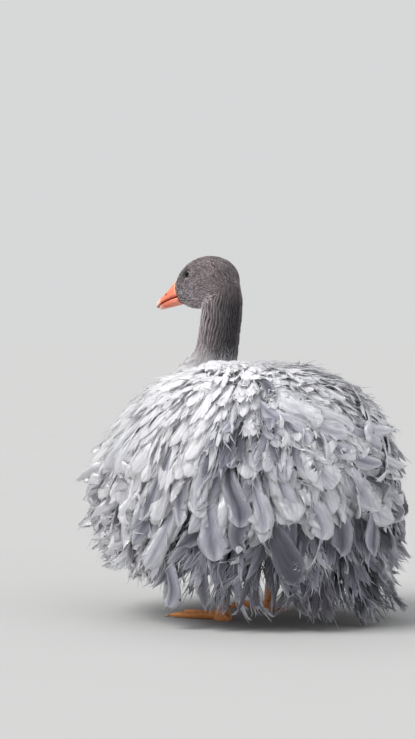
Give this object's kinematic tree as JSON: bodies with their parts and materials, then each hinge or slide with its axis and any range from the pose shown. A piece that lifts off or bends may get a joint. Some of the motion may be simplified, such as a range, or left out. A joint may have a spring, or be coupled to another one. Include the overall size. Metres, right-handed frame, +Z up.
{
  "type": "sebastopol goose",
  "caption": "Standing goose with a long, loose coat of curled white and grey feathers, neck raised and head turned to its left.",
  "frame": {"origin": "on the floor, at the middle of the goose's own box seen from above", "axes": "+Z up, the goose faces -Y, its left side is +X"},
  "size_m": [0.389, 0.5012, 0.4913],
  "materials": {
    "white_plumage": "soft, silky white feather with lavender-grey splashes and charcoal streaks",
    "grey_plumage": "soft, short brown-grey feather, mottled, in furrows down the neck",
    "bill": "satin orange horn with a paler nail",
    "eye": "glossy dark brown",
    "leg_skin": "scaled orange skin with a satin sheen"
  },
  "bodies": {
    "root": {"torso": "white_plumage", "neck": "grey_plumage", "head": "grey_plumage", "bill_upper": "bill", "bill_lower": "bill", "eye_left": "eye", "eye_right": "eye", "wing_left": "white_plumage", "wing_right": "white_plumage", "tail": "white_plumage", "leg_left": "leg_skin", "leg_right": "leg_skin", "foot_left": "leg_skin", "foot_right": "leg_skin"}
  },
  "joints": []
}
